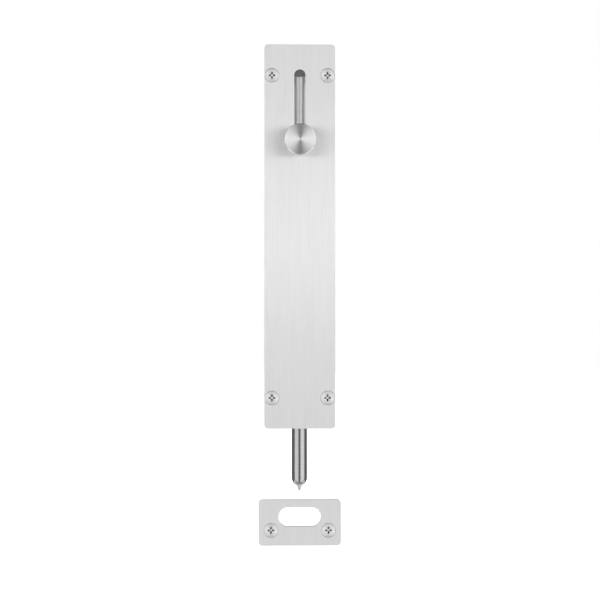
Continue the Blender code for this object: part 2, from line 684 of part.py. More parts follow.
clear_scene()
make_face_plate()
make_channel()
make_guide("upper_guide", UPPER_GUIDE_Z)
make_guide("lower_guide", LOWER_GUIDE_Z)
make_guide_screws()
make_foot_fasteners()
make_leaf_spring()
make_rivet()
make_wood_screws("plate_screw", PLATE_SCREW_LENGTH, plate_screw_places(), PLATE_THICKNESS)
make_bolt()
make_strike_plate()
make_wood_screws("strike_screw", STRIKE_SCREW_LENGTH, strike_screw_places(), STRIKE_THICKNESS)
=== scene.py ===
"""Looks for the flush bolt: finer pieces in place of the CAD ones, steel finishes, soft light and a floor."""

import json
from math import acos, cos, degrees, pi, radians, sin, sqrt

import bmesh
import bpy
from mathutils import Matrix, Vector


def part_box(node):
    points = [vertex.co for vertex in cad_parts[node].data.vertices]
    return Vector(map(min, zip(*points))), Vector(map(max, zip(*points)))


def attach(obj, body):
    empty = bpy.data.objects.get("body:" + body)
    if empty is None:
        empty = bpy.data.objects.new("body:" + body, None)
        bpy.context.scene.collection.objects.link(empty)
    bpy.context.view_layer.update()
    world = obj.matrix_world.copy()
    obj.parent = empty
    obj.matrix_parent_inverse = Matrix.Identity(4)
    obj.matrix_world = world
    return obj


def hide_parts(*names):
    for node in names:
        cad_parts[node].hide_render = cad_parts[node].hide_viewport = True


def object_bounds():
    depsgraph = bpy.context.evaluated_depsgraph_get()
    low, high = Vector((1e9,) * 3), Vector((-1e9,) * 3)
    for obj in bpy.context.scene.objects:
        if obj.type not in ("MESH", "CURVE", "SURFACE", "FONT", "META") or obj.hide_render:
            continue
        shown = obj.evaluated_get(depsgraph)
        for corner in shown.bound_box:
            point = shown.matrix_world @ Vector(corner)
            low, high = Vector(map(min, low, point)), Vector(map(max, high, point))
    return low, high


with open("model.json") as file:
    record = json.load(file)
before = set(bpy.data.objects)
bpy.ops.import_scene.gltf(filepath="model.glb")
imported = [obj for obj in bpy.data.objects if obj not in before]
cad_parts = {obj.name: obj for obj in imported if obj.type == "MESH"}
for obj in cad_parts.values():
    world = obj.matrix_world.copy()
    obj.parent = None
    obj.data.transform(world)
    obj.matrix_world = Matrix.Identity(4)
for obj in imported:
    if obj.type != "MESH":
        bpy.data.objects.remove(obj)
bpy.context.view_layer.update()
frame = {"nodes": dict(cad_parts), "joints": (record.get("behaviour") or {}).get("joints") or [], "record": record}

MM = 0.001
TO_FRONT = Matrix.Rotation(radians(90), 4, "X")  # local +Z to -Y
TO_BACK = Matrix.Rotation(radians(-90), 4, "X")  # local +Z to +Y
UPRIGHT = Matrix.Identity(4)

# Facets.
FINE = 96
ROUND = 64
SMALL = 32
CORNER = 10
EDGE = 4
THREAD_STEPS, THREAD_ROWS = 24, 12  # round a thread, and along each turn of it
OVERSHOOT = 1 * MM
BEVEL_FROM = 35  # degrees between faces

# Plates.
PLATE_CORNER = 2 * MM
PLATE_EDGE_ROUND = 0.2 * MM
SLOT_EDGE_ROUND = 0.3 * MM
HOLE_RADIUS = 2.3 * MM  # for a wood screw's shank
SINK_RADIUS = 3.72 * MM  # round a countersunk head
SINK_LAND = 0.3 * MM
SINK_BREAK = 0.06 * MM  # on the countersink's edge
SLOT_RADIUS = 3 * MM  # the spindle's slot
STRIKE_SLOT_RADIUS = 5 * MM
STRIKE_SLOT_REACH = 6 * MM  # from the strike's middle to the centre of the slot's end
STRIKE_SLOT_FROM_TOP = 9 * MM

# Wood screws.
HEAD_RADIUS = 3.6 * MM
HEAD_RIM = 0.25 * MM
HEAD_ROUND = 0.22 * MM
SHANK_RADIUS = 2 * MM
SHANK_ROOT = 1.4 * MM
SHANK_PLAIN = 7 * MM  # from the head's face to the thread's start
WOOD_PITCH = 1.8 * MM
WOOD_POINT = 5 * MM
WOOD_POINT_END = 0.03 * MM  # radius
RECESS_REACH = 3.6 * MM
RECESS_WING = 0.9 * MM
RECESS_DEPTH = 1.9 * MM
RECESS_TAPER = 0.5
RECESS_MOUTH = 1.05 * MM  # radius of the cup between the wings
WING_START = 0.5  # share of the cup's radius
WING_END = 0.8  # share of the wing's width left at its end
CUP_DEPTH = 0.45  # share of the wings' depth
CUP_FLOOR = 0.6  # share of the cup's radius
CUP_POINT_RADIUS, CUP_POINT_DEPTH = 0.02 * MM, 0.12 * MM

# Machine screws and studs.
M3_RADIUS = 1.5 * MM
M3_ROOT = 1.23 * MM
M3_PITCH = 0.5 * MM
PAN_RADIUS = 2.8 * MM
PAN_HEIGHT = 1.9 * MM
PAN_ROUND = 0.9 * MM
PAN_REACH = 2.8 * MM
PAN_WING = 0.7 * MM
PAN_DEPTH = 1.1 * MM
PAN_MOUTH = 0.7 * MM
FLANGE_RADIUS = 2 * MM
FLANGE_THICKNESS = 0.8 * MM
NUT_HALF = 2.75 * MM
BORE_RADIUS = 1.65 * MM

# A thread's ridge, as shares of its pitch.
RIDGE_HALF = 0.36
RIDGE_FLAT = 0.07

# Channel and guides.
SHEET = 1.2 * MM
BEND = 0.6 * MM
SEAT_GAP = 0.3 * MM
CHANNEL_HALF = 8.3 * MM
SIDE_STANDOFF = 4 * MM
FOOT_HALF_LENGTH = 7 * MM
FOOT_CORNER = 1.5 * MM
GUIDE_BORE = 4.2 * MM
GUIDE_MOUTH = 3.5 * MM
GUIDE_CORNER = 1 * MM
GUIDE_SCREW_WALL = 0.6 * MM  # between the rod's bore and a guide screw's
SHEET_EDGE_ROUND = 0.12 * MM
GUIDE_EDGE_ROUND = 0.2 * MM
GUIDE_SCREW_HOLE = 1.8 * MM  # radii of the holes in the channel
RIVET_HOLE = 1.35 * MM
STUD_HOLE = 2.3 * MM
RIVET_SHANK = 1.2 * MM
RIVET_RISE = 0.9 * MM

# Bolt.
NOSE_LENGTH = 2.8 * MM
NOSE_BASE = 1.4 * MM
NOSE_END = 0.4 * MM
TIP_ROUND = 4.6 * MM
TIP_ANGLE = 58
ROD_CHAMFER = 0.6 * MM
SHOULDER = 2.7 * MM
SPINDLE_THREAD = 1.85 * MM
SPINDLE_ROOT = 1.5 * MM
SPINDLE_PITCH = 0.7 * MM
KNOB_EDGE = 0.3 * MM
NECK_RADIUS = 4.5 * MM
NECK_LENGTH = 3 * MM
NECK_FILLET = 0.8 * MM
KNOB_BORE_DEPTH = 6.8 * MM

# Finishes. Colours are linear. A noise's scale is about its features a metre.
BLACK = (0, 0, 0)
SATIN = (0.80, 0.80, 0.80)
# The rod's polished tip, then its drawn length and nose, which carry painted light.
POLISHED = (0.385, 0.385, 0.38)
DRAWN_PAINTED_LIGHT = (0.8, 0.8, 0.795)
TURNED = (0.84, 0.84, 0.84)
SCREW = (0.9, 0.9, 0.9)
ZINC_BLUE = (0.50, 0.53, 0.58)
ZINC_STRAW = (0.66, 0.65, 0.61)
SPRING = (0.30, 0.29, 0.28)
ACETAL = (0.026, 0.026, 0.028)
NYLON = (0.76, 0.75, 0.71)
EVEN = (1, 1, 1)  # a grain that isn't stretched
NOISE_SPAN = (0.35, 0.65)  # where most of a noise's values lie
QUARTER_TURN = 0.25
CUT_ROUGHNESS = 0.95
CUT_FACING = (0.2, 0.7)  # from a cut wall to the plate's face, by how far the surface faces the front
POLISH_END = 60 * MM  # from the tip, where the polish starts to give way to the drawn surface and its painted light
DRAWN_START = 140 * MM
# Painted shade in the wings of a screw's recess.
WING_SHADE = 0.85
WING_SHADE_START = 0.6 * MM  # from the screw's axis
WING_SHADE_FULL = 0.95 * MM


# Outlines, as lists of (x, y) points that run anticlockwise.


def arc(centre, radius, start, end, steps):
    turns = [radians(start + (end - start) * i / steps) for i in range(steps + 1)]
    return [(centre[0] + radius * cos(turn), centre[1] + radius * sin(turn)) for turn in turns]


def circle(radius, steps):
    return arc((0, 0), radius, 0, 360, steps)[:-1]


def rounded_rectangle(half_x, half_y, corner):
    x, y = half_x - corner, half_y - corner
    points = []
    for centre, start in (((x, y), 0), ((-x, y), 90), ((-x, -y), 180), ((x, -y), 270)):
        points += arc(centre, corner, start, start + 90, CORNER)
    return points


def obround(radius, low, high):
    return arc((0, high), radius, 0, 180, SMALL) + arc((0, low), radius, 180, 360, SMALL)


def at(outline, z, shift=(0, 0)):
    return [(x + shift[0], y + shift[1], z) for x, y in outline]


# Meshes.


def loft(rings, looped=False, bm=None):
    """Skins rings of equal length. The ends are capped, or joined to each other when looped."""
    bm = bm or bmesh.new()
    rings = [[bm.verts.new(point) for point in ring] for ring in rings]
    pairs = list(zip(rings, rings[1:]))
    if looped:
        pairs.append((rings[-1], rings[0]))
    else:
        bm.faces.new(rings[0])
        bm.faces.new(rings[-1])
    for low, high in pairs:
        for i in range(len(low)):
            j = (i + 1) % len(low)
            bm.faces.new((low[i], low[j], high[j], high[i]))
    return bm


def turned(profile, steps=ROUND, places=((0, 0),), looped=False):
    bm = bmesh.new()
    for place in places:
        loft([at(circle(radius, steps), z, place) for radius, z in profile], looped, bm)
    return bm


def thread(bottom, top, pitch, root, crest):
    """Rings of a right-hand thread. root and crest give its radii at a height."""
    count = max(2, round((top - bottom) / pitch * THREAD_ROWS))
    rings = []
    for row in range(count + 1):
        z = bottom + (top - bottom) * row / count
        low, high = root(z), crest(z)
        ring = []
        for step in range(THREAD_STEPS):
            off = abs((z / pitch - step / THREAD_STEPS) % 1 - 0.5)
            share = min(1, max(0, (RIDGE_HALF - off) / (RIDGE_HALF - RIDGE_FLAT)))
            radius = low + (high - low) * share
            turn = 2 * pi * step / THREAD_STEPS
            ring.append((radius * cos(turn), radius * sin(turn), z))
        rings.append(ring)
    return rings


def rings_of(profile):
    """Plain rings with as many points as a thread's."""
    return [at(circle(radius, THREAD_STEPS), z) for radius, z in profile]


def temporary(bm):
    bmesh.ops.recalc_face_normals(bm, faces=bm.faces)
    mesh = bpy.data.meshes.new("temporary")
    bm.to_mesh(mesh)
    bm.free()
    item = bpy.data.objects.new("temporary", mesh)
    bpy.context.scene.collection.objects.link(item)
    return item


def solid(bm, cuts=(), bevel=0, angle=30, keep=()):
    """A closed mesh: bm less cuts, common with keep, its edges broken by bevel."""
    item = temporary(bm)
    helpers = []
    for operation, others in (("DIFFERENCE", cuts), ("INTERSECT", keep)):
        for other in others:
            helpers.append(temporary(other))
            modifier = item.modifiers.new("shape", "BOOLEAN")
            modifier.operation, modifier.solver, modifier.object = operation, "EXACT", helpers[-1]
    if bevel:
        modifier = item.modifiers.new("edges", "BEVEL")
        modifier.width, modifier.segments, modifier.limit_method = bevel, 2, "ANGLE"
        modifier.angle_limit = radians(BEVEL_FROM)
    graph = bpy.context.evaluated_depsgraph_get()
    shaped = bpy.data.meshes.new_from_object(item.evaluated_get(graph))
    item.modifiers.clear()
    shaped.shade_smooth()
    shaped.set_sharp_from_angle(angle=radians(angle))
    item.data = shaped
    modifier = item.modifiers.new("normals", "WEIGHTED_NORMAL")
    modifier.keep_sharp = True
    graph = bpy.context.evaluated_depsgraph_get()
    mesh = bpy.data.meshes.new_from_object(item.evaluated_get(graph))
    for helper in (item, *helpers):
        bpy.data.objects.remove(helper, do_unlink=True)
    return mesh


def show(name, mesh, slot, place=(0, 0, 0), turn=UPRIGHT):
    """Puts a mesh in the scene in place of its CAD node, with its slot's finish."""
    item = bpy.data.objects.new(f"{name}_fine", mesh)
    item.matrix_world = Matrix.Translation(place) @ turn
    bpy.context.scene.collection.objects.link(item)
    mesh.materials.clear()
    mesh.materials.append(FINISHES[slot])
    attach(item, BODY_OF[name])
    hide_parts(name)


def middle(node):
    low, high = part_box(node)
    return (low + high) / 2


# Finishes.


def add_node(tree, kind, inputs=None, **settings):
    item = tree.nodes.new(kind)
    for key, value in settings.items():
        setattr(item, key, value)
    for key, value in (inputs or {}).items():
        if isinstance(value, bpy.types.NodeSocket):
            tree.links.new(value, item.inputs[key])
        else:
            item.inputs[key].default_value = value
    return item


def maths(tree, operation, *values):
    return add_node(tree, "ShaderNodeMath", dict(enumerate(values)), operation=operation).outputs[0]


def ranged(tree, value, low, high, to_low, to_high, smooth=False):
    kind = "SMOOTHSTEP" if smooth else "LINEAR"
    inputs = {"Value": value, "From Min": low, "From Max": high, "To Min": to_low, "To Max": to_high}
    return add_node(tree, "ShaderNodeMapRange", inputs, interpolation_type=kind).outputs["Result"]


def noise(tree, vector, scale, detail=3.0, roughness=0.5, dimensions="3D"):
    inputs = {"Scale": scale, "Detail": detail, "Roughness": roughness}
    inputs["W" if dimensions == "1D" else "Vector"] = vector
    return add_node(tree, "ShaderNodeTexNoise", inputs, noise_dimensions=dimensions).outputs["Fac"]


def stretched(tree, scale):
    coords = add_node(tree, "ShaderNodeTexCoord").outputs["Object"]
    return add_node(tree, "ShaderNodeMapping", {"Vector": coords, "Scale": scale}).outputs["Vector"]


def component(tree, output, axis):
    """One axis of the surface's place ("Object") or facing ("Normal"), in the piece's own frame."""
    coords = add_node(tree, "ShaderNodeTexCoord").outputs[output]
    return add_node(tree, "ShaderNodeSeparateXYZ", {0: coords}).outputs[axis]


def from_axis(tree):
    """Distance from the piece's own Z axis."""
    coords = add_node(tree, "ShaderNodeTexCoord").outputs["Object"]
    flat = add_node(tree, "ShaderNodeVectorMath", {0: coords, 1: (1, 1, 0)}, operation="MULTIPLY").outputs[0]
    return add_node(tree, "ShaderNodeVectorMath", {0: flat}, operation="LENGTH").outputs["Value"]


def new_finish(name, colour, roughness, metallic=1.0):
    finish = bpy.data.materials.new(name)
    finish.use_nodes = True
    shader = finish.node_tree.nodes["Principled BSDF"]
    shader.inputs["Base Color"].default_value = (*colour, 1)
    shader.inputs["Roughness"].default_value = roughness
    shader.inputs["Metallic"].default_value = metallic
    return finish.node_tree, shader, finish


def tint(tree, shader, factor, dark, light):
    """Colours the shader between two tones."""
    mix = add_node(tree, "ShaderNodeMix", data_type="RGBA")
    share, first, second = [socket for socket in mix.inputs if socket.enabled]
    tree.links.new(factor, share)
    first.default_value, second.default_value = (*dark, 1), (*light, 1)
    result = next(socket for socket in mix.outputs if socket.enabled)
    tree.links.new(result, shader.inputs["Base Color"])


def bump(tree, shader, height, distance, strength):
    item = add_node(tree, "ShaderNodeBump", {"Height": height, "Strength": strength, "Distance": distance})
    tree.links.new(item.outputs["Normal"], shader.inputs["Normal"])


def scaled(colour, share):
    return tuple(channel * share for channel in colour)


def multiplied(tree, first, *others):
    for other in others:
        first = maths(tree, "MULTIPLY", first, other)
    return first


def blended(tree, *parts):
    """The sum of (value, share) pairs, each value times its share."""
    terms = [maths(tree, "MULTIPLY", value, share) for value, share in parts]
    total = terms[0]
    for term in terms[1:]:
        total = maths(tree, "ADD", total, term)
    return total


def roughen(tree, shader, value):
    tree.links.new(value, shader.inputs["Roughness"])


def round_grain(tree, shader, anisotropy):
    """Stretches highlights as tool marks round local Z do."""
    shader.inputs["Anisotropic"].default_value = anisotropy
    shader.inputs["Anisotropic Rotation"].default_value = QUARTER_TURN
    tangent = add_node(tree, "ShaderNodeTangent", direction_type="RADIAL", axis="Z")
    tree.links.new(tangent.outputs["Tangent"], shader.inputs["Tangent"])


def brushed_finish():
    """Satin sheet with a fine grain along Z, and matt where it was cut through."""
    tree, shader, finish = new_finish("satin_steel_finish", SATIN, 0.36)
    shader.inputs["Anisotropic"].default_value = 0.95
    across = add_node(tree, "ShaderNodeCombineXYZ", {"X": 1.0, "Y": 0.05, "Z": 0.01})
    tree.links.new(across.outputs["Vector"], shader.inputs["Tangent"])
    fine = noise(tree, stretched(tree, (1, 1, 0.012)), 5200, 4)
    streaks = noise(tree, stretched(tree, (1, 1, 0.02)), 900, 2)
    cloud = noise(tree, stretched(tree, (1, 1, 0.35)), 60, 2)
    both = blended(tree, (fine, 0.5), (streaks, 0.3), (cloud, 0.2))
    tint(tree, shader, ranged(tree, both, *NOISE_SPAN, 0, 1), scaled(SATIN, 0.955), scaled(SATIN, 1.03))
    facing = maths(tree, "ABSOLUTE", component(tree, "Normal", "Y"))
    cut = ranged(tree, facing, *CUT_FACING, CUT_ROUGHNESS, 0)
    roughen(tree, shader, maths(tree, "MAXIMUM", cut, ranged(tree, fine, 0.3, 0.7, 0.33, 0.4)))
    bump(tree, shader, fine, 0.01 * MM, 0.5)
    return finish


def rod_finish():
    """Drawn bar with faint lengthwise marks, polished towards its tip. The turned nose is left satin. The drawn
    length and the nose are also coloured about twice as light as the polished tip: painted light that lifts the
    rod where the plate's slot shades it.
    """
    tree, shader, finish = new_finish("bright_steel_finish", (0.5, 0.5, 0.5), 0.14)
    fine = noise(tree, stretched(tree, (1, 1, 0.03)), 3000, 3)
    rings = noise(tree, stretched(tree, (0.02, 0.02, 1)), 6000, 2)
    both = blended(tree, (fine, 0.5), (rings, 0.5))
    height = component(tree, "Object", "Z")
    drawn_and_painted_light = ranged(tree, height, POLISH_END, DRAWN_START, 0, 1, True)
    nose = ranged(tree, height, NOSE_LENGTH + 0.2 * MM, NOSE_LENGTH + 1.2 * MM, 1, 0)
    satin_and_painted_light = maths(tree, "MAXIMUM", drawn_and_painted_light, nose)
    # Painted light: the drawn length and the nose are coloured much lighter than the polished tip; the roughness
    # below is the real finish.
    tone = maths(tree, "ADD", multiplied(tree, satin_and_painted_light, 0.85), ranged(tree, both, 0.4, 0.6, 0, 0.15))
    tint(tree, shader, tone, POLISHED, DRAWN_PAINTED_LIGHT)
    fine_rough = ranged(tree, both, *NOISE_SPAN, 0.15, 0.2)
    roughen(tree, shader, maths(tree, "ADD", multiplied(tree, satin_and_painted_light, 0.22), fine_rough))
    bump(tree, shader, both, 0.004 * MM, 0.4)
    return finish


def turned_finish():
    """Round tool marks about local Z, and painted shade that colours the sides a little darker than the faces."""
    tree, shader, finish = new_finish("turned_steel_finish", TURNED, 0.42)
    round_grain(tree, shader, 0.9)
    distance = from_axis(tree)
    marks = noise(tree, distance, 7000, 3, 0.6, "1D")
    bands = noise(tree, distance, 1500, 2, 0.5, "1D")
    both = blended(tree, (marks, 0.6), (bands, 0.4))
    # Painted shade: surfaces facing sideways from local Z are coloured down to 0.95 of the face's tone.
    side = ranged(tree, maths(tree, "ABSOLUTE", component(tree, "Normal", "Z")), 0.1, 0.8, 0.95, 1)
    tone = multiplied(tree, ranged(tree, both, *NOISE_SPAN, 0.91, 1), side)
    tint(tree, shader, tone, BLACK, scaled(TURNED, 1.03))
    roughen(tree, shader, ranged(tree, both, 0.3, 0.7, 0.38, 0.46))
    bump(tree, shader, marks, 0.006 * MM, 0.4)
    return finish


def screw_finish():
    """Plain steel, with painted shade inside the recess's wings."""
    tree, shader, finish = new_finish("screw_steel_finish", SCREW, 0.5)
    round_grain(tree, shader, 0.35)
    grain = noise(tree, stretched(tree, EVEN), 2600, 4)
    cloud = noise(tree, stretched(tree, EVEN), 500, 2)
    both = blended(tree, (grain, 0.5), (cloud, 0.5))
    radius, height = from_axis(tree), component(tree, "Object", "Z")
    # Painted shade: the recess's wings are coloured darker between two radii and two depths, where shade falls in
    # them.
    wings = multiplied(
        tree,
        ranged(tree, radius, WING_SHADE_START, WING_SHADE_FULL, 0, 1),
        ranged(tree, radius, RECESS_REACH / 2, RECESS_REACH / 2 + 0.1 * MM, 1, 0),
        ranged(tree, height, -0.45 * MM, -0.05 * MM, 1, 0),
        ranged(tree, height, -RECESS_DEPTH - 0.3 * MM, -RECESS_DEPTH, 0, 1),
    )
    painted_shade_factor = maths(tree, "SUBTRACT", 1.0, multiplied(tree, wings, WING_SHADE))
    tone = multiplied(tree, ranged(tree, both, 0.38, 0.62, 0.9, 1), painted_shade_factor)
    tint(tree, shader, tone, BLACK, scaled(SCREW, 1.04))
    roughen(tree, shader, ranged(tree, both, *NOISE_SPAN, 0.46, 0.54))
    bump(tree, shader, grain, 0.01 * MM, 0.3)
    return finish


def zinc_finish():
    """Bright zinc plate with a faint blue and straw cast."""
    tree, shader, finish = new_finish("zinc_steel_finish", (0.7, 0.72, 0.74), 0.33)
    cloud = noise(tree, stretched(tree, (1, 1, 0.5)), 140, 4, 0.6)
    grain = noise(tree, stretched(tree, EVEN), 3200, 4)
    tint(tree, shader, ranged(tree, cloud, *NOISE_SPAN, 0, 1), ZINC_BLUE, ZINC_STRAW)
    both = blended(tree, (cloud, 0.5), (grain, 0.5))
    roughen(tree, shader, ranged(tree, both, *NOISE_SPAN, 0.27, 0.4))
    bump(tree, shader, grain, 0.012 * MM, 0.4)
    return finish


def spring_finish():
    """Dark strip with a rolled grain along Z."""
    tree, shader, finish = new_finish("spring_steel_finish", SPRING, 0.3)
    grain = noise(tree, stretched(tree, (1, 1, 0.04)), 2500, 3)
    tint(tree, shader, ranged(tree, grain, *NOISE_SPAN, 0, 1), scaled(SPRING, 0.8), scaled(SPRING, 1.15))
    roughen(tree, shader, ranged(tree, grain, 0.3, 0.7, 0.24, 0.38))
    bump(tree, shader, grain, 0.008 * MM, 0.4)
    return finish


def moulded_finish(name, colour, roughness):
    """Plastic with a fine moulded grain and slight colour variation."""
    tree, shader, finish = new_finish(name, colour, roughness, 0.0)
    grain = noise(tree, stretched(tree, EVEN), 1800, 4)
    cloud = noise(tree, stretched(tree, EVEN), 250, 2)
    tint(tree, shader, ranged(tree, cloud, *NOISE_SPAN, 0, 1), scaled(colour, 0.88), scaled(colour, 1.1))
    roughen(tree, shader, ranged(tree, grain, 0.3, 0.7, roughness - 0.06, roughness + 0.08))
    bump(tree, shader, grain, 0.02 * MM, 0.4)
    return finish


FINISHES = {
    "satin_steel": brushed_finish(),
    "bright_steel": rod_finish(),
    "turned_steel": turned_finish(),
    "screw_steel": screw_finish(),
    "zinc_steel": zinc_finish(),
    "spring_steel": spring_finish(),
    "black_acetal": moulded_finish("black_acetal_finish", ACETAL, 0.42),
    "white_nylon": moulded_finish("white_nylon_finish", NYLON, 0.45),
}
BODY_OF = {name: body for body, names in frame["record"]["behaviour"]["bodies"].items() for name in names}


# Plates, built with the back at z = 0 and the front at +Z, then turned to the front.


def plate_body(half_x, half_y, thickness):
    rings = [at(rounded_rectangle(half_x, half_y, PLATE_CORNER), 0)]
    for step in range(EDGE + 1):
        angle = radians(90 * step / EDGE)
        inset = PLATE_EDGE_ROUND * (1 - cos(angle))
        outline = rounded_rectangle(half_x - inset, half_y - inset, PLATE_CORNER - inset)
        rings.append(at(outline, thickness - PLATE_EDGE_ROUND * (1 - sin(angle))))
    return loft(rings)


def slot_cut(radius, low, high, thickness, across=False):
    rings = []
    levels = [(0, -OVERSHOOT)]
    for step in range(EDGE + 1):
        angle = radians(90 * step / EDGE)
        levels.append((SLOT_EDGE_ROUND * (1 - cos(angle)), thickness - SLOT_EDGE_ROUND * (1 - sin(angle))))
    levels.append((SLOT_EDGE_ROUND, thickness + OVERSHOOT))
    for flare, z in levels:
        outline = obround(radius + flare, low, high)
        rings.append(at([(-y, x) for x, y in outline] if across else outline, z))
    return loft(rings)


def sink_cut(places, thickness):
    land = thickness - SINK_LAND
    profile = (
        (HOLE_RADIUS, -OVERSHOOT),
        (HOLE_RADIUS, land - (SINK_RADIUS - HOLE_RADIUS)),
        (SINK_RADIUS, land),
        (SINK_RADIUS, thickness - SINK_BREAK),
        (SINK_RADIUS + SINK_BREAK, thickness),
        (SINK_RADIUS + SINK_BREAK, thickness + OVERSHOOT),
    )
    return turned(profile, ROUND, places)


def flat_plate(node, slot, screws):
    """A countersunk plate. slot makes the slot's cutter from the plate's thickness."""
    low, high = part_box(node)
    size, centre = high - low, middle(node)
    thickness = size.y
    places = [(middle(name).x - centre.x, middle(name).z - centre.z) for name in screws]
    cuts = [slot(thickness), sink_cut(places, thickness)]
    mesh = solid(plate_body(size.x / 2, size.z / 2, thickness), cuts)
    mesh.transform(Matrix.Translation((centre.x, high.y, centre.z)) @ TO_FRONT)
    show(node, mesh, "satin_steel")


def make_plates():
    spindle = middle("knob_spindle").z
    top = spindle + frame["joints"][0]["range_m"][1]
    flat_plate("face_plate", lambda thickness: slot_cut(SLOT_RADIUS, spindle, top, thickness),
               [f"plate_screw_{n}" for n in range(1, 5)])

    def strike_slot(thickness):
        bm = slot_cut(STRIKE_SLOT_RADIUS, -STRIKE_SLOT_REACH, STRIKE_SLOT_REACH, thickness, across=True)
        slot_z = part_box("strike_plate")[1].z - STRIKE_SLOT_FROM_TOP
        bmesh.ops.translate(bm, verts=bm.verts, vec=(0, slot_z - middle("strike_plate").z, 0))
        return bm

    flat_plate("strike_plate", strike_slot, ["strike_screw_1", "strike_screw_2"])


# Screws, with the head's face or seat at z = 0 and the shank along -Z.


def recess(reach, wing, depth, mouth, top=0):
    """Cutters for a cross recess: four tapered wings round a shallower cup."""
    slope = (1 - RECESS_TAPER) / depth
    wings, near = bmesh.new(), mouth * WING_START
    for turn in range(4):
        rings = []
        for z in (-depth, OVERSHOOT):
            share = 1 + slope * z
            far, half = reach / 2 * share, wing / 2 * share
            corners = ((near, -half), (far, -half * WING_END), (far, half * WING_END), (near, half))
            angle = turn * pi / 2
            rings.append([(x * cos(angle) - y * sin(angle), x * sin(angle) + y * cos(angle), top + z)
                          for x, y in corners])
        loft(rings, bm=wings)
    floor = top - depth * CUP_DEPTH
    cup = turned((
        (CUP_POINT_RADIUS, floor - CUP_POINT_DEPTH),
        (mouth * CUP_FLOOR, floor),
        (mouth, top),
        (mouth, top + OVERSHOOT),
    ), SMALL)
    return [wings, cup]


def wood_screw(length):
    under_head = -HEAD_RIM - (HEAD_RADIUS - SHANK_RADIUS)

    def share(z):
        return min(1, max(0.06, (z + length) / WOOD_POINT))

    def root(z):
        runout = min(1, max(0, (z + SHANK_PLAIN + MM) / MM))
        return (SHANK_ROOT + (SHANK_RADIUS - SHANK_ROOT) * runout) * share(z)

    def crest(z):
        return SHANK_RADIUS * share(z)

    rings = rings_of(((WOOD_POINT_END, -length),))
    rings += thread(-length + 0.25 * MM, -SHANK_PLAIN, WOOD_PITCH, root, crest)
    rings += rings_of((
        (SHANK_RADIUS, under_head - 0.2 * MM),
        (SHANK_RADIUS + 0.06 * MM, under_head),
    ))
    shank = loft(rings)
    head = turned((
        (SHANK_RADIUS - 0.2 * MM, under_head - 0.1 * MM),
        (SHANK_RADIUS, under_head),
        (HEAD_RADIUS, -HEAD_RIM),
        *arc((HEAD_RADIUS - HEAD_ROUND, -HEAD_ROUND), HEAD_ROUND, 0, 90, 5),
    ), ROUND)
    return joined(shank, head, recess(RECESS_REACH, RECESS_WING, RECESS_DEPTH, RECESS_MOUTH))


def joined(shank, head, cuts):
    """Head and shank made one body, less the recess."""
    first, second = temporary(head), temporary(shank)
    modifier = first.modifiers.new("join", "BOOLEAN")
    modifier.operation, modifier.solver, modifier.object = "UNION", "EXACT", second
    graph = bpy.context.evaluated_depsgraph_get()
    mesh = bpy.data.meshes.new_from_object(first.evaluated_get(graph))
    for item in (first, second):
        bpy.data.objects.remove(item, do_unlink=True)
    bm = bmesh.new()
    bm.from_mesh(mesh)
    return solid(bm, cuts)


def show_screws(prefix, count, mesh, slot, turn, place_y):
    """Shows one mesh at each of the numbered nodes. place_y gives its y from the node's front and back."""
    for number in range(1, count + 1):
        name = f"{prefix}_{number}"
        low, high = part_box(name)
        centre = middle(name)
        show(name, mesh, slot, (centre.x, place_y(low.y, high.y), centre.z), turn)


def make_wood_screws():
    for prefix, count in (("plate_screw", 4), ("strike_screw", 2)):
        low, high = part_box(f"{prefix}_1")
        mesh = wood_screw(high.y - low.y)
        show_screws(prefix, count, mesh, "screw_steel", TO_FRONT, lambda front, back: front)


def make_guide_screws():
    low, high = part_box("guide_screw_1")
    length = high.y - low.y - PAN_HEIGHT
    rings = rings_of(((M3_ROOT - 0.2 * MM, -length),))
    rings += thread(-length + 0.2 * MM, -0.1 * MM, M3_PITCH, lambda z: M3_ROOT, lambda z: M3_RADIUS)
    rings += rings_of(((M3_ROOT, 0.2 * MM),))
    head = [(M3_ROOT, 0), (PAN_RADIUS - 0.05 * MM, 0), (PAN_RADIUS, 0.05 * MM)]
    head += arc((PAN_RADIUS - PAN_ROUND, PAN_HEIGHT - PAN_ROUND), PAN_ROUND, 0, 80, 6)
    mesh = joined(loft(rings), turned(head, ROUND),
                  recess(PAN_REACH, PAN_WING, PAN_DEPTH, PAN_MOUTH, PAN_HEIGHT))
    show_screws("guide_screw", 4, mesh, "zinc_steel", TO_BACK, lambda front, back: back - PAN_HEIGHT)


